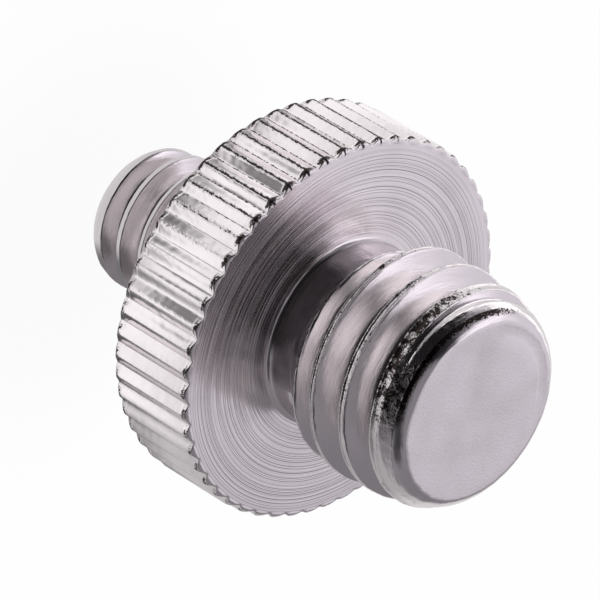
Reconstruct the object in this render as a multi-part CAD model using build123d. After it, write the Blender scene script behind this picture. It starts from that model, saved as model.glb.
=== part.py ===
from build123d import *
from dataclasses import dataclass
import math
import os

# Tripod thread adapter: a knurled flange between a 3/8"-16 stud and a 1/4"-20 stud, turned from one bar.
# It stands on the end face of the small stud. The origin is the centre of that face, +Z runs along the
# common axis towards the large stud. Millimetres.

INCH = 25.4

# Flange and its straight knurl. The first tooth stands at an angle in degrees from +X.
flange_diameter = 16.0
flange_thickness = 4.1
flange_bevel = 0.26
knurl_teeth = 53
knurl_first_tooth = -1.84
knurl_depth = 0.22
knurl_gap_width = 0.56

# Large stud, 3/8"-16 UNC
large_threads_per_inch = 16
large_major_diameter = 9.40
large_pitch_diameter = 8.44
large_root_diameter = 7.58
large_length = 7.65
large_neck_diameter = 7.46
large_neck_length = 1.45
large_neck_chamfer = 0.28
large_taper_start = 4.2
large_taper_diameter = 9.08
large_lead_start = 5.8
large_lead_diameter = 8.26
large_bevel = 0.40
large_crest_height = 0.515

# Small stud, 1/4"-20 UNC
small_threads_per_inch = 20
small_major_diameter = 6.13
small_pitch_diameter = 5.46
small_root_diameter = 4.75
small_length = 7.7
small_neck_diameter = 4.64
small_neck_length = 1.1
small_neck_chamfer = 0.25
small_taper_start = 3.3
small_taper_diameter = 5.96
small_lead_start = 5.4
small_lead_diameter = 5.56
small_bevel = 0.40
small_crest_height = 0.10

# Thread form shared by both studs. The groove keeps its flanks a little beyond the crests.
flank_half_angle = 30.0
mouth_share_of_pitch = 1 / 32


@dataclass(frozen=True)
class Stud:
    """Sizes of one threaded stud, measured outwards from the flange face it stands on."""

    pitch: float
    major_radius: float
    pitch_radius: float
    root_radius: float
    length: float
    neck_radius: float
    neck_length: float
    neck_chamfer: float
    taper_start: float
    taper_radius: float
    lead_start: float
    lead_radius: float
    bevel: float
    crest_height: float

    @property
    def sharp_radius(self) -> float:
        """Radius at which the two flanks of the groove would meet."""
        return self.pitch_radius - self.pitch / 4 / math.tan(math.radians(flank_half_angle))

    def half_width(self, radius: float) -> float:
        """Half the width of the groove between its straight flanks at a radius."""
        return (radius - self.sharp_radius) * math.tan(math.radians(flank_half_angle))


large = Stud(
    pitch=INCH / large_threads_per_inch,
    major_radius=large_major_diameter / 2,
    pitch_radius=large_pitch_diameter / 2,
    root_radius=large_root_diameter / 2,
    length=large_length,
    neck_radius=large_neck_diameter / 2,
    neck_length=large_neck_length,
    neck_chamfer=large_neck_chamfer,
    taper_start=large_taper_start,
    taper_radius=large_taper_diameter / 2,
    lead_start=large_lead_start,
    lead_radius=large_lead_diameter / 2,
    bevel=large_bevel,
    crest_height=large_crest_height,
)

small = Stud(
    pitch=INCH / small_threads_per_inch,
    major_radius=small_major_diameter / 2,
    pitch_radius=small_pitch_diameter / 2,
    root_radius=small_root_diameter / 2,
    length=small_length,
    neck_radius=small_neck_diameter / 2,
    neck_length=small_neck_length,
    neck_chamfer=small_neck_chamfer,
    taper_start=small_taper_start,
    taper_radius=small_taper_diameter / 2,
    lead_start=small_lead_start,
    lead_radius=small_lead_diameter / 2,
    bevel=small_bevel,
    crest_height=small_crest_height,
)

flange_radius = flange_diameter / 2
flange_bottom = small_length
flange_top = small_length + flange_thickness
overall_length = flange_top + large_length

# Clearance by which a cutting tool runs past the metal it cuts
overrun = 0.5


def stud_outline(stud: Stud, seat: float, side: int) -> Polyline:
    """Half outline of a stud before threading, from the foot of its neck to the axis.

    seat is the height of the flange face, side is +1 for the stud above it and -1 for the one below.
    """
    shoulder = stud.neck_length + stud.major_radius - stud.neck_radius
    corners = [
        (stud.neck_radius + stud.neck_chamfer, 0),
        (stud.neck_radius, stud.neck_chamfer),
        (stud.neck_radius, stud.neck_length),
        (stud.major_radius, shoulder),
        (stud.major_radius, stud.taper_start),
        (stud.taper_radius, stud.lead_start),
        (stud.lead_radius, stud.length - stud.bevel),
        (stud.lead_radius - stud.bevel, stud.length),
        (0, stud.length),
    ]
    return Polyline(*[(radius, seat + side * distance) for radius, distance in corners])


def turned_blank() -> Part:
    """The bar after turning: two studs and a flange whose bevelled rim still stands proud of the knurl."""
    face_radius = flange_radius - flange_bevel
    rim_radius = flange_radius + overrun
    rim_inset = rim_radius - face_radius
    flange_outline = Polyline(
        (large.neck_radius + large.neck_chamfer, flange_top),
        (face_radius, flange_top),
        (rim_radius, flange_top - rim_inset),
        (rim_radius, flange_bottom + rim_inset),
        (face_radius, flange_bottom),
        (small.neck_radius + small.neck_chamfer, flange_bottom),
    )
    edges = Curve() + flange_outline + Line((0, 0), (0, overall_length))
    edges += stud_outline(large, flange_top, 1)
    edges += stud_outline(small, flange_bottom, -1)
    return revolve(Plane.XZ * make_face(edges.edges()), Axis.Z)


def knurl_envelope() -> Part:
    """Everything inside the knurl: a tall prism whose outline is a ring of lands between V gaps."""
    step = 360 / knurl_teeth
    land_half = step / 2 - math.degrees(knurl_gap_width / 2 / flange_radius)
    gap_radius = flange_radius - knurl_depth

    def at(radius: float, angle: float) -> tuple:
        return radius * math.cos(math.radians(angle)), radius * math.sin(math.radians(angle))

    edges = Curve()
    for tooth in range(knurl_teeth):
        crest = knurl_first_tooth + tooth * step
        land_end = at(flange_radius, crest + land_half)
        next_start = at(flange_radius, crest + step - land_half)
        edges += ThreePointArc(at(flange_radius, crest - land_half), at(flange_radius, crest), land_end)
        edges += Polyline(land_end, at(gap_radius, crest + step / 2), next_start)
    outline = make_face(edges.edges())
    return Pos(0, 0, -overrun) * extrude(outline, overall_length + 2 * overrun)


def groove_turns(stud: Stud) -> list:
    """Cutters for the helical groove of a stud that stands on its flange face, one turn each.

    The section has 60 degree flanks over a flat root, and straight walls outside the crests.
    """
    outer = stud.major_radius + overrun
    mouth = stud.major_radius + stud.pitch * mouth_share_of_pitch
    mouth_half = stud.half_width(mouth)
    root_half = stud.half_width(stud.root_radius)

    # The groove starts in the open neck. A crest is crest_height above the flange on the +X side.
    start = stud.neck_length / 2
    groove_height = stud.crest_height - stud.pitch / 2
    start_angle = (start - groove_height) / stud.pitch * 360

    outline = Polyline(
        (stud.root_radius, start - root_half),
        (mouth, start - mouth_half),
        (outer, start - mouth_half),
        (outer, start + mouth_half),
        (mouth, start + mouth_half),
        (stud.root_radius, start + root_half),
        close=True,
    )
    section = Plane.XZ * make_face(outline.edges())
    path = Helix(stud.pitch, stud.pitch, stud.pitch_radius, center=(0, 0, start))
    turn = Rot(0, 0, start_angle) * sweep(section, path=path, is_frenet=True)
    turns = math.ceil((stud.length - start + mouth_half) / stud.pitch)
    return [Pos(0, 0, index * stud.pitch) * turn for index in range(turns)]


def thread_adapter() -> Part:
    """The finished adapter."""
    body = turned_blank() & knurl_envelope()
    body -= [Pos(0, 0, flange_top) * turn for turn in groove_turns(large)]
    body -= [Pos(0, 0, flange_bottom) * Rot(180, 0, 0) * turn for turn in groove_turns(small)]
    return body


adapter = thread_adapter()
os.makedirs("parts", exist_ok=True)
export_step(adapter.solid(), "parts/thread_adapter.step")
print("thread_adapter", round(adapter.volume, 1), "mm3,", len(adapter.faces()), "faces")
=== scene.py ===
import logging
import math
from dataclasses import dataclass, field, fields
from enum import Enum

import bmesh
import bpy
import numpy as np
from mathutils import Matrix, Vector, noise

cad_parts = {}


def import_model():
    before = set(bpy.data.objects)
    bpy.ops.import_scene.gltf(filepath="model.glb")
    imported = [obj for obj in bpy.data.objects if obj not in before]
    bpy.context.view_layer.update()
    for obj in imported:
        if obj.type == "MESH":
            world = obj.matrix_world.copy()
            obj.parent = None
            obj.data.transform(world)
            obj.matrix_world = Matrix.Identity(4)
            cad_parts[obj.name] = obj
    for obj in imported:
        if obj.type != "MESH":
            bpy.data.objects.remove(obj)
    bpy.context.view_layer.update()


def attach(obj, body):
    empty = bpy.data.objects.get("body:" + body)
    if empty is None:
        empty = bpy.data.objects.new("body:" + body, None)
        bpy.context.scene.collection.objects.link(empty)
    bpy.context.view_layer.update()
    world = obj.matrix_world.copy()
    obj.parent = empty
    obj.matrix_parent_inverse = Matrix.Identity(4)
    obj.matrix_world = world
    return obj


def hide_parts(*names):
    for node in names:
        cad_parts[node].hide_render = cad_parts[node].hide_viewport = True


# A nickel plated thread adapter: a knurled flange between a wide and a narrow threaded stud.
# Sizes are in metres. The origin is the centre of the small stud's end face, +Z runs up the common axis.

LOG = logging.getLogger("thread_adapter")
MM = 0.001
NODE = "thread_adapter"


class End(Enum):
    """The side of the flange a stud stands on."""

    LARGE = 1
    SMALL = -1


class Sock:
    """A node socket that can be written in an expression."""

    def __init__(self, graph: "Graph", out: bpy.types.NodeSocket) -> None:
        """Keeps the graph and the output socket."""
        self.graph = graph
        self.out = out

    def _math(self, operation: str, *values: object) -> "Sock":
        """Adds one Math node on the values given."""
        return self.graph.node("ShaderNodeMath", {"operation": operation}, dict(enumerate(values)))

    def __add__(self, other: object) -> "Sock":
        """self + other."""
        return self._math("ADD", self, other)

    __radd__ = __add__

    def __sub__(self, other: object) -> "Sock":
        """self - other."""
        return self._math("SUBTRACT", self, other)

    def __rsub__(self, other: object) -> "Sock":
        """other - self."""
        return self._math("SUBTRACT", other, self)

    def __mul__(self, other: object) -> "Sock":
        """self * other."""
        return self._math("MULTIPLY", self, other)

    __rmul__ = __mul__

    def __truediv__(self, other: object) -> "Sock":
        """self / other."""
        return self._math("DIVIDE", self, other)

    def __rtruediv__(self, other: object) -> "Sock":
        """other / self."""
        return self._math("DIVIDE", other, self)

    def __pow__(self, other: object) -> "Sock":
        """self to the power of other."""
        return self._math("POWER", self, other)

    def __abs__(self) -> "Sock":
        """The size of self without its sign."""
        return self._math("ABSOLUTE", self)

    def ramp(self, start: float, end: float) -> "Sock":
        """A smooth step from 0 at start to 1 at end; start may be the larger.

        Args:
            start: Value at which the step begins.
            end: Value at which the step is complete.

        Returns:
            The stepped value.
        """
        low, high = min(start, end), max(start, end)
        values = {"Value": self, "From Min": low, "From Max": high}
        values |= {"To Min": float(start > end), "To Max": float(start < end)}
        return self.graph.node("ShaderNodeMapRange", {"interpolation_type": "SMOOTHSTEP"}, values)


class Graph:
    """The node tree of a material or of the world, built up from expressions."""

    def __init__(self, owner: bpy.types.ID) -> None:
        """Empties the owner's tree."""
        owner.use_nodes = True
        self.tree = owner.node_tree
        self.tree.nodes.clear()

    def node(
        self, kind: str, settings: dict | None = None, values: dict | None = None, out: int | str = 0
    ) -> Sock:
        """Adds a node.

        Args:
            kind: The node's type.
            settings: Attributes of the node, set before its sockets.
            values: Numbers, colours or sockets by input name or number.
            out: Output socket by name or number.

        Returns:
            The output socket asked for.
        """
        made = self.tree.nodes.new(kind)
        for name, value in (settings or {}).items():
            setattr(made, name, value)
        for name, value in (values or {}).items():
            if isinstance(value, Sock):
                self.tree.links.new(value.out, made.inputs[name])
            else:
                made.inputs[name].default_value = value
        return Sock(self, made.outputs[out]) if made.outputs else Sock(self, None)

    def place(self) -> Sock:
        """Object coordinates."""
        return self.node("ShaderNodeTexCoord", out="Object")

    def painted(self, layer: str) -> Sock:
        """The value that a vertex layer of the mesh holds."""
        return self.node("ShaderNodeAttribute", {"attribute_name": layer}, out="Fac")

    def vector(self, operation: str, first: object, second: object = (0, 0, 0), out: int | str = 0) -> Sock:
        """One Vector Math node.

        Args:
            operation: What the node works out.
            first: First vector.
            second: Second vector.
            out: Output, "Value" for a length or a dot product.

        Returns:
            The node's output.
        """
        return self.node("ShaderNodeVectorMath", {"operation": operation}, {0: first, 1: second}, out)

    def split(self, value: Sock, axis: str) -> Sock:
        """One component of a vector."""
        return self.node("ShaderNodeSeparateXYZ", values={0: value}, out=axis)

    def mix(self, share: object, first: object, second: object) -> Sock:
        """A colour between first and second.

        Args:
            share: 0 gives first, 1 gives second.
            first: A colour.
            second: Another colour.

        Returns:
            The mixed colour.
        """
        values = {0: share, 6: first, 7: second}
        return self.node("ShaderNodeMix", {"data_type": "RGBA"}, values, out=2)

    def speckle(self, where: object, scale: float, detail: float = 2.0, rough: float = 0.5) -> Sock:
        """Noise between 0 and 1.

        Args:
            where: Coordinates.
            scale: Features per metre.
            detail: Octaves.
            rough: Strength of the finer octaves.

        Returns:
            The noise value.
        """
        values = {"Vector": where, "Scale": scale, "Detail": detail, "Roughness": rough}
        return self.node("ShaderNodeTexNoise", values=values, out=0)

    def bump(self, height: Sock, strength: float = 1.0) -> Sock:
        """A normal tilted by a height in metres."""
        return self.node("ShaderNodeBump", values={"Height": height, "Strength": strength, "Distance": 1.0})

    def surface(self, values: dict) -> None:
        """Ends the tree in one Principled shader with the values given."""
        shader = self.node("ShaderNodeBsdfPrincipled", values=values)
        self.node("ShaderNodeOutputMaterial", values={"Surface": shader})


@dataclass(frozen=True)
class Nickel:
    """Bright nickel plating over turned, rolled or knurled metal.

    Heights are in metres, scales are features per metre, and dish is the slope of a cone.
    """

    name: str
    colour: tuple = (0.80, 0.75, 0.77, 1.0)
    dull: tuple = (0.68, 0.63, 0.64, 1.0)
    # The grime colour serves both real grime and painted shade.
    grime: tuple = (0.055, 0.042, 0.040, 1.0)
    roughness: float = 0.16
    grain: float = 0.0000007
    crest_grain: float = 0.000055
    rings: float = 0.0
    anisotropy: float = 0.0
    matte: float = 0.0
    streaks: float = 0.0
    dish: float = 0.0
    cloud_scale: float = 420.0
    streak_scale: float = 900.0
    streak_stretch: float = 12.0
    coarse_scale: float = 6500.0
    ring_scale: float = 8600.0
    fine_scale: float = 9000.0
    grit_scale: float = 15000.0
    worn_rings: tuple = (7.6 * MM, 7.0 * MM)
    across_the_lines: float = 0.25

    def drawn(self, graph: Graph, place: Sock) -> Sock:
        """Short streaks that run round the piece, from its rolling."""
        flattened = graph.vector("MULTIPLY", place, (1.0, 1.0, self.streak_stretch))
        return graph.speckle(flattened, self.streak_scale, 3.0, 0.65)

    def turned(self, graph: Graph, radius: Sock) -> Sock:
        """Turning rings of uneven width, fainter towards the rim."""
        values = {"W": radius * self.ring_scale, "Scale": 1.0, "Detail": 1.0, "Roughness": 0.6}
        ring = graph.node("ShaderNodeTexNoise", {"noise_dimensions": "1D"}, values)
        return ring.ramp(0.47, 0.60) * (radius.ramp(*self.worn_rings) * 0.75 + 0.25)

    def build(self) -> bpy.types.Material:
        """The plating with its grain, its turning rings, its rough crests, and the grime and painted shade
        in its lines.

        Returns:
            The material.
        """
        made = bpy.data.materials.new(self.name)
        graph = Graph(made)
        place = graph.place()
        crest, shade_and_grime = graph.painted("crest"), graph.painted("shade_and_grime")
        cloud = graph.speckle(place, self.cloud_scale, 3.0)
        coarse = graph.speckle(place, self.coarse_scale, 3.0, 0.6)
        grit = graph.speckle(place, self.grit_scale)
        height = graph.speckle(place, self.fine_scale) * self.grain
        height = height + crest * (coarse * 0.6 + grit * 0.4) * self.crest_grain
        ridge = 0.0
        if self.streaks:
            drawn = self.drawn(graph, place)
            height = height + drawn * self.streaks
            cloud = cloud * 0.5 + drawn * 0.5
        if self.rings:
            radius = graph.vector("LENGTH", graph.vector("MULTIPLY", place, (1, 1, 0)), out="Value")
            ridge = self.turned(graph, radius)
            height = height + ridge * self.rings - radius * self.dish
        wear = cloud.ramp(0.35, 0.75) + ridge
        # Darkens towards the grime colour where the vertex layer is high: some grime, and painted shade in
        # the knurl's gaps and seams, by a burr and on one side of the crests.
        shade_and_grime_share = ((coarse + grit) * 1.2 + shade_and_grime * 1.1 - 1.8).ramp(0.0, 0.25)
        plate = graph.mix(wear * 0.35, self.colour, self.dull)
        rough = wear * 0.05 + crest * 0.10 + shade_and_grime_share * 0.15 + cloud * self.matte + self.roughness
        values = {"Base Color": graph.mix(shade_and_grime_share, plate, self.grime), "Metallic": 1.0}
        values |= {"Roughness": rough, "Normal": graph.bump(height), "Anisotropic": self.anisotropy}
        if self.anisotropy:
            values["Anisotropic Rotation"] = self.across_the_lines
        graph.surface(values)
        return made


PLATING = Nickel("nickel_plate", roughness=0.17, streaks=0.000009)
TURNED = Nickel("nickel_turned", roughness=0.13, rings=0.00001, anisotropy=0.65, dish=0.05)
KNURLED = Nickel("nickel_knurled", roughness=0.14)
END_CUT = Nickel("nickel_end", roughness=0.20, grain=0.000008, matte=0.16)


@dataclass
class Band:
    """Rows of a shell: radii and heights in mm, how rough each point is, and how much grime and painted
    shade it has.
    """

    radii: np.ndarray
    heights: np.ndarray
    crests: np.ndarray
    soils: np.ndarray

    @classmethod
    def clean(cls, radii: np.ndarray, heights: np.ndarray) -> "Band":
        """A band that is neither rough nor grimy."""
        return cls(radii, heights, np.zeros(radii.shape), np.zeros(radii.shape))

    @classmethod
    def level(cls, rings: list[tuple[float, float]], columns: int) -> "Band":
        """A clean band of round, level rings, each given by its radius and height."""
        radii, heights = np.array(rings).T
        around = np.ones(columns)
        return cls.clean(radii[:, None] * around, heights[:, None] * around)

    @classmethod
    def joined(cls, bands: list["Band"]) -> "Band":
        """All the rows of several bands in one."""
        names = [entry.name for entry in fields(cls)]
        return cls(*(np.concatenate([getattr(band, name) for band in bands]) for name in names))


@dataclass
class Skin:
    """A closed shell shaped from one grid: columns run round the axis, rows from pole to pole."""

    name: str
    angles: np.ndarray
    rows: Band
    weld: float = 0.0000005

    def build(self) -> bpy.types.Object:
        """Wraps a grid round the axis, closes its seam and poles and shades it smooth.

        Returns:
            The object, in the scene's collection.
        """
        radii, heights = self.rows.radii * MM, self.rows.heights * MM
        rows, columns = radii.shape
        shell = bmesh.new()
        bmesh.ops.create_grid(shell, x_segments=columns - 1, y_segments=rows - 1, size=0.5)
        crest = shell.verts.layers.float.new("crest")
        shade_and_grime = shell.verts.layers.float.new("shade_and_grime")
        for vert in shell.verts:
            column = round((vert.co.x + 0.5) * (columns - 1))
            row = round((vert.co.y + 0.5) * (rows - 1))
            radius, angle = radii[row, column], self.angles[column]
            vert[crest] = self.rows.crests[row, column]
            vert[shade_and_grime] = self.rows.soils[row, column]
            vert.co = (radius * math.cos(angle), radius * math.sin(angle), heights[row, column])
        bmesh.ops.remove_doubles(shell, verts=shell.verts, dist=self.weld)
        bmesh.ops.recalc_face_normals(shell, faces=shell.faces)
        mesh = bpy.data.meshes.new(self.name)
        shell.to_mesh(mesh)
        shell.free()
        mesh.shade_smooth()
        made = bpy.data.objects.new(self.name, mesh)
        bpy.context.scene.collection.objects.link(made)
        return made


def soft_min(first: np.ndarray, second: np.ndarray, blend: float) -> np.ndarray:
    """The smaller of two lengths with the corner between them rounded.

    Args:
        first: Lengths.
        second: Lengths.
        blend: Size of the rounding.

    Returns:
        The rounded minimum.
    """
    share = np.maximum(blend - np.abs(first - second), 0) / blend
    return np.minimum(first, second) - share**2 * blend / 4


def rise(value: np.ndarray, start: float, length: float) -> np.ndarray:
    """0 up to a start, then rising evenly to 1 over a length."""
    return np.clip((value - start) / length, 0, 1)


def near(value: np.ndarray, middle: float, width: float, height: float) -> np.ndarray:
    """A peak of a height over a middle value, cut off at 1; the height falls by 1 over a width."""
    return np.clip(height - np.abs(value - middle) / width, 0, 1)


def rumple(points: np.ndarray, scale: float) -> np.ndarray:
    """Noise between -1 and 1 at points in mm.

    Args:
        points: Array whose last axis is x, y, z.
        scale: Features per mm.

    Returns:
        One value a point.
    """
    flat = points.reshape(-1, 3) * scale
    return np.array([noise.noise(Vector(point)) for point in flat]).reshape(points.shape[:-1])


def on_cylinder(angle: np.ndarray, radius: float, height: np.ndarray) -> np.ndarray:
    """Points on a cylinder, for noise that follows a round piece.

    Args:
        angle: Angles of the columns.
        radius: Radius of the cylinder in mm.
        height: Heights in mm, rows by columns.

    Returns:
        One x, y, z for each height.
    """
    angles = np.broadcast_to(angle, height.shape)
    return np.stack([np.cos(angles) * radius, np.sin(angles) * radius, height], axis=-1)


def dress(made: bpy.types.Object, sides: Nickel, faces: Nickel, level: float) -> None:
    """Gives a piece its materials and ties it to the frame.

    Args:
        made: The piece.
        sides: The finish of its sides.
        faces: The finish of its level faces.
        level: How far along the axis the normal of a level face points, 1 for exactly.
    """
    for finish in (sides, faces):
        known = bpy.data.materials.get(finish.name)
        made.data.materials.append(known or finish.build())
    for polygon in made.data.polygons:
        polygon.material_index = int(abs(polygon.normal.z) > level)
    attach(made, "root")
    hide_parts(NODE)
    LOG.info("%s: %d faces", made.name, len(made.data.polygons))


@dataclass(frozen=True)
class Arc:
    """A stretch round the axis: its middle in degrees, and a cosine's gain, cut and cap there."""

    middle: float
    gain: float
    cut: float
    top: float = 1.0

    def share(self, angle: np.ndarray) -> np.ndarray:
        """From 0 away from the stretch up to top at its middle."""
        return np.clip(np.cos(angle - math.radians(self.middle)) * self.gain - self.cut, 0, self.top)


# Where a stud's last groove runs out clean, its crests are rough and darkened with painted shade,
# its end bevel is darker and its end face has a lip.
CLEAN_RUN_OUT = Arc(205, 3.0, 1.2)
ROUGH_SHADED_CRESTS = Arc(256, 2.6, 1.4)
DARKENED_BEVEL = Arc(246, 1.8, 0.5, 0.9)
END_LIP = Arc(155, 2.4, 1.2)

FLANK_ANGLE = math.radians(30)


@dataclass
class Stud:
    """A rolled thread with a relief neck, measured in mm outwards from the flange face it stands on.

    outline holds height and radius of the blank's corners, from the foot of the neck to the end face.
    """

    name: str
    end: End
    seat: float
    pitch: float
    major: float
    pitch_radius: float
    root: float
    crest_height: float
    outline: tuple
    last_ring: float
    columns: int
    rows_a_pitch: int
    corner: float
    valley: float
    hollow: float
    rumpled: float
    wear: float
    seam_turn: float = 0.25
    crowding: float = 0.085
    neck_share: float = 0.75
    sunk: float = 0.4
    run_out_reach: float = 0.8
    run_out_length: float = 0.6
    noise_radius: float = 4.0
    bow: float = 0.6
    end_rise: float = 0.02
    lip_height: float = 0.025

    @property
    def sharp(self) -> float:
        """Radius at which the two flanks of the groove would meet."""
        return self.pitch_radius - self.pitch / 4 / math.tan(FLANK_ANGLE)

    @property
    def neck(self) -> float:
        """Height in the neck at which the thread's rows begin."""
        return self.outline[2][0] * self.neck_share

    def envelope(self, height: np.ndarray) -> np.ndarray:
        """Radius of the blank before threading."""
        heights, radii = zip(*self.outline)
        return np.interp(height, heights, radii)

    def groove(self, offset: np.ndarray) -> np.ndarray:
        """Radius of the groove's surface, with a rounded root between slightly hollow 60 degree flanks.

        Args:
            offset: Distance along the axis from the middle of the groove.

        Returns:
            The radius there.
        """
        climb = np.abs(offset) / math.tan(FLANK_ANGLE)
        round_off = self.root - self.sharp
        reach = round_off * math.cos(FLANK_ANGLE)
        inside = np.clip(np.abs(offset), 0, reach)
        bottom = self.root + round_off - np.sqrt(round_off**2 - inside**2)
        share = np.clip((climb + self.sharp - self.root) / (self.major - self.root), 0, 1)
        flank = self.sharp + climb - self.hollow * np.sin(np.pi * share)
        return np.where(np.abs(offset) < reach, bottom, flank)

    def crest_half_width(self, radius: np.ndarray) -> np.ndarray:
        """Half the width of metal that two grooves leave between them at a radius."""
        groove = (np.clip(radius, self.root, self.major) - self.sharp) * math.tan(FLANK_ANGLE)
        return np.clip(self.pitch / 2 - groove, 0.02, None)

    def rows(self, crest_z: np.ndarray) -> np.ndarray:
        """Heights of the thread's rows, which climb with the crest and crowd on it.

        Args:
            crest_z: Height of one turn of the crest at each column.

        Returns:
            Heights, rows by columns, kept between the neck and the last ring.
        """
        even = np.linspace(0, 1, self.rows_a_pitch, endpoint=False)
        spread = self.pitch * (even - self.crowding * np.sin(2 * np.pi * even))
        turns = math.ceil((self.last_ring + self.pitch) / self.pitch) + 2
        starts = np.concatenate([spread + self.pitch * (turn - 1) for turn in range(turns)])
        height = starts[:, None] + crest_z[None, :] - self.pitch
        return np.clip(height, self.neck, self.last_ring)

    def thread(self, angle: np.ndarray, crest_z: np.ndarray) -> Band:
        """The thread between the neck and the last ring.

        Args:
            angle: Angles of the columns.
            crest_z: Height of one turn of the crest at each column.

        Returns:
            Its rows.
        """
        height = self.rows(crest_z)
        from_crest = (height - crest_z + self.pitch / 2) % self.pitch - self.pitch / 2
        run_out = rise(height, self.last_ring - self.run_out_reach, self.run_out_length)
        run_out = run_out**2 * (3 - 2 * run_out)
        points = on_cylinder(angle, self.noise_radius, height)
        wobble = rumple(points, 3.1) * 0.6 + rumple(points, 8.3) * 0.4
        blank = self.envelope(height)
        cut = self.groove(self.pitch / 2 - np.abs(from_crest))
        cut = cut + (np.maximum(blank + self.corner, cut) - cut) * run_out
        blank = blank + (wobble - 0.5) * self.rumpled
        crest = np.clip((cut - blank) / self.corner + 0.5, 0, 1) * rise(height, self.neck + 0.6, 0.4)
        crest *= 1 - run_out * CLEAN_RUN_OUT.share(angle)
        flat = self.crest_half_width(blank)
        valley = np.clip(1 - (from_crest / (flat * 0.62)) ** 2, 0, 1) * crest
        radius = soft_min(blank, cut, self.corner) - valley * self.valley * (1 + wobble)
        # Over one stretch the crests are rougher and carry painted shade; the dark line of grime beside
        # their edges is laid on only there, so it is painted shade too.
        rough_and_shaded = ROUGH_SHADED_CRESTS.share(angle)
        lip = near(from_crest, flat + 0.05, 0.08, 1.0) * rough_and_shaded * 0.5 * self.wear
        return Band(radius, height, *self.worn(crest, flat, rough_and_shaded, wobble, lip))

    def worn(self, crest: np.ndarray, flat: np.ndarray, rough_and_shaded: np.ndarray, wobble: np.ndarray,
             lip: np.ndarray) -> tuple[np.ndarray, np.ndarray]:
        """How rough the crests are, and how much grime and painted shade they carry.

        Args:
            crest: 1 on a crest, 0 in a groove.
            flat: Half the crest's width in mm.
            rough_and_shaded: 1 where the crests are roughest and carry the most painted shade.
            wobble: Noise.
            lip: Grime, with painted shade, on the lip that rolling leaves behind a crest.

        Returns:
            Roughness, and grime with painted shade.
        """
        broad = rise(flat, 0.14, 0.1)
        # Grime from noise on every crest, with painted shade that is far stronger where the crests are
        # shaded.
        shade_and_grime = 0.13 + 0.06 * broad + (0.32 + 0.22 * broad) * rough_and_shaded + 0.34 * np.clip(wobble * 2, -1, 1)
        rough = 0.15 + 0.85 * rough_and_shaded * (0.6 + 0.4 * broad) * self.wear
        return crest * rough, np.maximum(crest * shade_and_grime * self.wear, lip)

    def foot(self) -> Band:
        """Level rings from a closed pole inside the flange, over the fillet, up to the neck."""
        (_, foot), (height, waist) = self.outline[:2]
        rings = [(0.0, -self.sunk), (foot * 0.5, -self.sunk), (foot, -self.sunk), (foot, -0.02)]
        for turn in np.linspace(0.1, 1, 10) * math.pi / 2:
            rings.append((foot - (foot - waist) * math.sin(turn), height * (1 - math.cos(turn))))
        rings.append((waist, height + 0.06))
        return Band.level(rings, self.columns + 1)

    def bevel(self, ragged: np.ndarray) -> list[tuple]:
        """Rings over the end bevel, which bows on from the slope of the lead.

        Args:
            ragged: How far each column's edge stands out.

        Returns:
            Radius and height of each ring.
        """
        step_back = 0.1
        lead = np.array([self.last_ring, self.last_ring - step_back])
        start, before = self.envelope(lead) - self.rumpled / 2
        top, flat = self.outline[-1]
        climb = top - self.end_rise - self.last_ring
        reach = climb * self.bow
        shoulder = start + (start - before) * reach / step_back
        rings = []
        for step in np.linspace(0.1, 1, 10):
            first, middle, last = (1 - step) ** 2, 2 * step * (1 - step), step**2
            radius = first * start + middle * shoulder + last * flat + ragged * step
            rings.append((radius, self.last_ring + middle * reach + last * climb))
        return rings

    def end_face(self, angle: np.ndarray, ragged: np.ndarray) -> list[tuple]:
        """Rings across the end face to its pole, with a low lip along part of its edge.

        Args:
            angle: Angles of the columns.
            ragged: How far each column's edge stands out.

        Returns:
            Radius and height of each ring.
        """
        top, flat = self.outline[-1]
        lip = END_LIP.share(angle) * self.lip_height
        rings = [(flat + ragged - 0.03, top - 0.004)]
        for share, dip in ((0.97, 1), (0.9, 1), (0.86, 1), (0.83, 0), (0.7, 0), (0.4, 0), (0.0, 0)):
            rings.append(((flat + ragged * 2 * share) * share - 0.06 * share, top - lip * dip))
        return rings

    def tip(self, angle: np.ndarray) -> Band:
        """The end of the stud beyond the last ring, darker along one stretch of its bevel."""
        wave = on_cylinder(angle, 1.0, 0 * angle)
        ragged = rumple(wave, 2.3) * 0.06 + rumple(wave, 7.0) * 0.03
        rings = self.bevel(ragged) + self.end_face(angle, ragged)
        radii = np.array([radius + 0 * angle for radius, _ in rings])
        heights = np.array([height + 0 * angle for _, height in rings])
        inwards = np.linspace(0, 1, len(rings))[:, None]
        # Darkens one stretch of the bevel, most near the thread's lead.
        bevel_darkening = np.clip(1.4 - inwards / 0.35, 0, 1) * DARKENED_BEVEL.share(angle) * self.wear
        return Band(radii, heights, np.zeros(radii.shape), bevel_darkening)

    def build(self) -> bpy.types.Object:
        """Shapes the stud.

        Returns:
            The finished object.
        """
        # The grid's seam lies on the far side, at a quarter turn.
        turn = self.seam_turn + np.linspace(0, 1, self.columns + 1)
        angle = turn * 2 * np.pi
        crest_z = self.crest_height + self.pitch * turn
        rows = Band.joined([self.foot(), self.thread(angle, crest_z), self.tip(angle)])
        rows.heights = self.seat + self.end.value * rows.heights
        made = Skin(self.name, angle * self.end.value, rows).build()
        dress(made, PLATING, END_CUT, 0.99)
        return made


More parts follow.
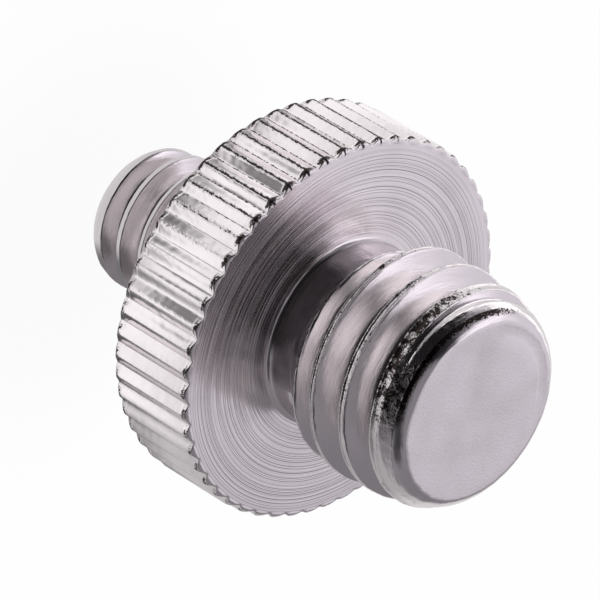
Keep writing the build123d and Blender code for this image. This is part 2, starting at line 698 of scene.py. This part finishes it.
@dataclass
class Flange:
    """The flange disc with its straight knurl, in mm.

    half_tooth holds the places of the columns over one half of a tooth, from 0 on its crest to 1 in the gap.
    """

    name: str = "flange"
    bottom: float = 7.7
    top: float = 11.8
    radius: float = 8.0
    bevel: float = 0.26
    bevel_margin: float = 0.02
    bevel_blend: float = 0.04
    teeth: int = 53
    first_tooth: float = -1.84
    depth: float = 0.23
    seam: float = 0.02
    # Middle, in degrees, of the stretch where the seams cut deepest and the seams and gaps are darkened with
    # painted shade.
    seamed_at: float = 231.0
    half_tooth: tuple = (0.1, 0.18, 0.3, 0.44, 0.58, 0.72, 0.84, 0.93)
    face_rings: tuple = (0.0, 2.5, 5.0, 7.0, 7.5)

    @property
    def thick(self) -> float:
        """Thickness of the disc."""
        return self.top - self.bottom

    @property
    def face_radius(self) -> float:
        """Radius at which the bevel begins."""
        return self.radius - self.bevel - self.bevel_margin

    def tooth(self, across: np.ndarray) -> np.ndarray:
        """Radius over one tooth; across runs from -1 to 1 between two gaps."""
        fall = np.abs(across) * 0.55 + (1 - np.cos(np.pi * across)) * 0.225
        return self.radius - 0.005 - self.depth * fall

    def around(self) -> tuple[np.ndarray, np.ndarray]:
        """Place across its tooth and angle of every column, with the first one again at the end."""
        half = np.array(self.half_tooth)
        places = np.concatenate([[-1.0], -half[::-1], [0.0], half])
        across = np.tile(places, self.teeth)
        angle = (np.repeat(np.arange(self.teeth), len(places)) + across / 2) * (2 * np.pi / self.teeth)
        angle = angle + math.radians(self.first_tooth)
        return np.append(across, -1.0), np.append(angle, angle[0] + 2 * np.pi)

    def rim_rows(self) -> np.ndarray:
        """Heights of the rim's rows above the lower face, crowded on both bevels."""
        arc = self.bevel * (1 - np.cos(np.linspace(0.2, np.pi / 2, 9)))
        edge = np.concatenate([arc, [0.29, 0.33, 0.38]])
        middle = np.linspace(0.46, self.thick - 0.46, 28)
        return np.concatenate([edge, middle, self.thick - edge[::-1]])

    def bevel_limit(self, depth_in: np.ndarray) -> np.ndarray:
        """Radius that the rounded bevel allows at a depth from the nearer face."""
        inset = np.minimum(depth_in, self.bevel)
        return self.face_radius + np.sqrt(2 * self.bevel * inset - inset**2) + (depth_in - inset)

    def rim(self, across: np.ndarray, angle: np.ndarray) -> Band:
        """The knurled rim with the seam lines down its teeth.

        Args:
            across: Place of each column across its tooth.
            angle: Angles of the columns.

        Returns:
            Its rows.
        """
        rows = self.rim_rows()
        depth_in = np.minimum(rows, self.thick - rows)[:, None]
        height = rows[:, None] + 0 * angle
        points = on_cylinder(angle, self.radius, height)
        rough = rumple(points, 3.7) * 0.5 + rumple(points, 9.0) * 0.5
        # Seams cut deep and seams and gaps carry full painted shade over one stretch, a quarter of that
        # elsewhere.
        seams_and_shade = np.maximum(near(np.degrees(angle) % 360, self.seamed_at, 40, 1.5), 0.25)
        seam = near(across + rough * 0.12, 0, 0.16, 1.3)
        body = self.tooth(across) + (rough - 0.6) * 0.010
        body = body - seam * seams_and_shade * self.seam * (1 + rough * 1.5)
        radius = soft_min(body, self.bevel_limit(depth_in) + 0 * body, self.bevel_blend)
        return Band(radius, height, *self.worn(np.abs(across), depth_in, seam, seams_and_shade, rough))

    def worn(self, out: np.ndarray, depth_in: np.ndarray, seam: np.ndarray, seams_and_shade: np.ndarray,
             rough: np.ndarray) -> tuple[np.ndarray, np.ndarray]:
        """How rough and how grimy the rim is, along its seams, in its gaps and at the ends of its teeth.

        Args:
            out: 0 on the crest of a tooth, 1 in a gap.
            depth_in: Depth from the nearer face.
            seam: 1 on a seam line.
            seams_and_shade: How strong the seams and their painted shade are at each column.
            rough: Noise.

        Returns:
            Roughness and grime.
        """
        # Painted shade of a burr near each face, where the metal is also rougher.
        burr_and_shade = near(depth_in, 0.16, 0.08, 1.6) * np.clip(1.6 - out * 1.3, 0, 1) * (0.65 + 0.35 * seams_and_shade)
        facet = (depth_in < 0.1) * np.clip(1.45 - out * 1.5, 0, 1)
        # Painted shade in the gaps, and painted shade with some grime along the seams, both strongest over
        # one stretch.
        gap = rise(out, 0.86, 0.12) * (depth_in > 0.1)
        shade_and_grime = np.maximum(seam * (1.02 + rough * 0.5), gap * 0.86) * seams_and_shade
        crest = np.maximum(seam * seams_and_shade, np.maximum(burr_and_shade * 0.4, facet * 0.6))
        return crest, np.maximum(shade_and_grime, burr_and_shade)

    def build(self) -> bpy.types.Object:
        """Shapes the flange.

        Returns:
            The finished object.
        """
        across, angle = self.around()
        rings = [*self.face_rings, self.face_radius - 0.04]
        lower = Band.level([(radius, 0.0) for radius in rings], len(angle))
        upper = Band.level([(radius, self.thick) for radius in reversed(rings)], len(angle))
        rows = Band.joined([lower, self.rim(across, angle), upper])
        rows.heights = self.bottom + rows.heights
        made = Skin(self.name, angle, rows).build()
        dress(made, KNURLED, TURNED, 0.97)
        return made


LARGE = Stud(
    name="large_stud",
    end=End.LARGE,
    seat=11.8,
    pitch=1.5875,
    major=4.70,
    pitch_radius=4.22,
    root=3.65,
    crest_height=0.515,
    outline=(
        (0.0, 4.01),
        (0.28, 3.73),
        (1.45, 3.73),
        (2.45, 4.73),
        (4.20, 4.73),
        (5.00, 4.67),
        (5.90, 4.58),
        (6.70, 4.42),
        (7.25, 4.13),
        (7.65, 3.73),
    ),
    last_ring=7.25,
    columns=320,
    rows_a_pitch=34,
    corner=0.022,
    valley=0.035,
    hollow=0.035,
    rumpled=0.03,
    wear=1.0,
)

SMALL = Stud(
    name="small_stud",
    end=End.SMALL,
    seat=7.7,
    pitch=1.27,
    major=3.065,
    pitch_radius=2.67,
    root=2.26,
    crest_height=0.22,
    outline=(
        (0.0, 2.57),
        (0.25, 2.32),
        (1.10, 2.32),
        (1.89, 3.11),
        (3.30, 3.11),
        (5.40, 3.04),
        (6.70, 2.94),
        (7.05, 2.85),
        (7.28, 2.70),
        (7.70, 2.27),
    ),
    last_ring=7.28,
    columns=240,
    rows_a_pitch=26,
    corner=0.03,
    valley=0.0,
    hollow=0.03,
    rumpled=0.02,
    wear=0.2,
)


@dataclass(frozen=True)
class Patch:
    """A soft patch of light or shade in the room round the object, its edges in degrees from its middle."""

    towards: tuple
    inner: float
    outer: float
    level: float

    def share(self, graph: Graph, towards: Sock) -> Sock:
        """1 inside the patch, 0 outside it."""
        middle = tuple(Vector(self.towards).normalized())
        facing = graph.vector("DOT_PRODUCT", towards, middle, out="Value")
        return facing.ramp(math.cos(math.radians(self.outer)), math.cos(math.radians(self.inner)))


@dataclass(frozen=True)
class Pool:
    """A round pool of painted shade or light on the floor, in mm, that the metal mirrors darker or lighter.
    """

    x: float
    y: float
    outer: float
    inner: float
    change: float

    def factor(self, graph: Graph, place: Sock) -> Sock:
        """1 outside the pool and 1 + change in its middle."""
        away = graph.vector("DISTANCE", place, (self.x * MM, self.y * MM, 0), out="Value")
        return away.ramp(self.outer * MM, self.inner * MM) * self.change + 1


@dataclass
class Studio:
    """White floor, a soft room and the camera."""

    base: float = 0.46
    tint: tuple = (1.0, 0.97, 1.035, 1.0)
    paper_white: tuple = (0.92, 0.92, 0.92, 1.0)
    floor_half: float = 1.5
    floor_drop: float = 0.00002
    lamp_place: tuple = (-0.15, 0.25, 0.95)
    lamp_width: float = 0.6
    lamp_power: float = 6.5
    lamp_aim: tuple = (0.0, 0.0, 0.01)
    focal_length: float = 420.0
    sensor: float = 36.0
    eye: tuple = (-0.000163, -0.209607, 0.177651)
    eye_axes: tuple = (
        (-0.51379, 0.53720, 0.66891),
        (-0.85791, -0.32172, -0.40060),
        (0.0, -0.77969, 0.62616),
    )
    patches: tuple = (
        Patch((1.0, 0.10, 0.40), 35.0, 65.0, 0.28),
        Patch((-0.60, 0.72, 0.30), 15.0, 33.0, 0.75),
        Patch((-0.62, 0.33, 0.71), 16.0, 33.0, 1.3),
        Patch((-0.20, -0.93, 0.32), 60.0, 77.0, 0.012),
        Patch((0.80, -0.12, 0.59), 10.0, 23.0, 0.05),
        Patch((-0.86, -0.12, 0.50), 12.0, 24.0, 0.22),
        Patch((0.10, -0.10, 0.98), 18.0, 30.0, 0.26),
        Patch((0.55, 0.75, 0.35), 20.0, 40.0, 0.24),
        Patch((-0.31, 0.72, 0.62), 12.0, 34.0, 0.80),
    )
    pools: tuple = (
        Pool(-2.2, -20.3, 4.5, 2.0, -0.8),
        Pool(-38.0, -38.0, 20.0, 9.0, -0.85),
        Pool(-8.0, -12.0, 5.0, 2.0, -0.7),
        Pool(2.0, -44.0, 22.0, 8.0, 0.6),
    )

    def room(self) -> None:
        """The room's light: a plain level with soft patches, white behind the object."""
        world = bpy.data.worlds.new("room")
        bpy.context.scene.world = world
        graph = Graph(world)
        towards = graph.node("ShaderNodeTexCoord", out="Generated")
        level = self.base
        for patch in self.patches:
            level = patch.share(graph, towards) * (patch.level - level) + level
        seen = graph.node("ShaderNodeLightPath", out="Is Camera Ray")
        strength = level * (1 - seen) + seen
        shade = graph.node("ShaderNodeBackground", values={"Color": self.tint, "Strength": strength})
        graph.node("ShaderNodeOutputWorld", values={"Surface": shade})

    def mirrored_level(self, graph: Graph, place: Sock) -> Sock:
        """How bright the floor glows in the metal's reflections, with painted shadow near the object and on
        its +X side, and painted bands and pools of shade and light.

        Args:
            graph: The floor's material.
            place: Coordinates on the floor.

        Returns:
            The strength of its glow.
        """
        radius = graph.vector("LENGTH", place, out="Value")
        side = graph.vector("DOT_PRODUCT", graph.vector("NORMALIZE", place), (0.985, 0.17, 0), out="Value")
        # Painted shadow on the +X side and round the object; painted darker and lighter bands farther out.
        across = side.ramp(0.62, 0.90) * (1 - radius.ramp(17 * MM, 20 * MM) * 0.45)
        near_edge = graph.split(place, "Y").ramp(-95 * MM, -50 * MM)
        left = graph.split(place, "X").ramp(-45 * MM, -80 * MM)
        far = radius.ramp(17 * MM, 26 * MM)
        inner = radius.ramp(17 * MM, 14 * MM) * (radius.ramp(8 * MM, 11 * MM) * 0.4 + 0.6)
        level = (1 - across * 0.72) * (1 - far * 0.36) * near_edge * 1.25
        level = level * (1 - inner * 0.66) * (1 + left * 0.95)
        for pool in self.pools:
            level = level * pool.factor(graph, place)
        return level

    def paper(self) -> bpy.types.Material:
        """White paper that takes the shadow, stays white to the camera and glows in reflections."""
        made = bpy.data.materials.new("white_paper")
        graph = Graph(made)
        lit = graph.node("ShaderNodeBsdfDiffuse", values={"Color": self.paper_white})
        seen = graph.node("ShaderNodeLightPath", out="Is Camera Ray")
        mirrored = graph.node("ShaderNodeLightPath", out="Is Glossy Ray")
        strength = mirrored * self.mirrored_level(graph, graph.place()) + seen
        glow = graph.node("ShaderNodeEmission", values={"Color": (1, 1, 1, 1), "Strength": strength})
        both = graph.node("ShaderNodeMixShader", values={0: seen * 0.95 + mirrored, 1: lit, 2: glow})
        graph.node("ShaderNodeOutputMaterial", values={"Surface": both})
        return made

    def floor(self) -> None:
        """A wide white floor that keeps the object's shadow."""
        sheet = bmesh.new()
        bmesh.ops.create_grid(sheet, x_segments=1, y_segments=1, size=self.floor_half)
        bmesh.ops.translate(sheet, verts=sheet.verts, vec=(0, 0, -self.floor_drop))
        mesh = bpy.data.meshes.new("floor")
        sheet.to_mesh(mesh)
        sheet.free()
        mesh.materials.append(self.paper())
        made = bpy.data.objects.new("floor", mesh)
        bpy.context.scene.collection.objects.link(made)

    def lamp(self) -> None:
        """A square soft lamp overhead, aimed at the object and not mirrored in it."""
        light = bpy.data.lights.new("overhead", "AREA")
        light.size = self.lamp_width
        light.energy = self.lamp_power
        made = bpy.data.objects.new("overhead", light)
        made.location = self.lamp_place
        made.visible_glossy = False
        aim = Vector(self.lamp_aim) - Vector(self.lamp_place)
        made.rotation_euler = aim.to_track_quat("-Z", "Y").to_euler()
        bpy.context.scene.collection.objects.link(made)

    def camera(self) -> None:
        """A long lens, steeply rolled, that looks down on the standing adapter."""
        lens = bpy.data.cameras.new("camera")
        lens.sensor_width = self.sensor
        lens.lens = self.focal_length
        lens.clip_start = 0.01
        made = bpy.data.objects.new("camera", lens)
        turn = Matrix(self.eye_axes).transposed().to_4x4()
        made.matrix_world = Matrix.Translation(self.eye) @ turn
        bpy.context.scene.collection.objects.link(made)
        bpy.context.scene.camera = made

    def build(self) -> None:
        """Sets up the room, the floor, the lamp and the camera."""
        self.room()
        self.floor()
        self.lamp()
        self.camera()
        bpy.context.scene.view_settings.view_transform = "Standard"


@dataclass
class Adapter:
    """The whole adapter: the flange and its two studs."""

    parts: list = field(default_factory=lambda: [Flange(), LARGE, SMALL])

    def build(self) -> None:
        """Builds every part in order."""
        for part in self.parts:
            part.build()


def main() -> None:
    """Builds the adapter and the studio."""
    logging.basicConfig(level=logging.INFO, format="%(name)s: %(message)s")
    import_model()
    Adapter().build()
    Studio().build()


if __name__ == "__main__":
    main()
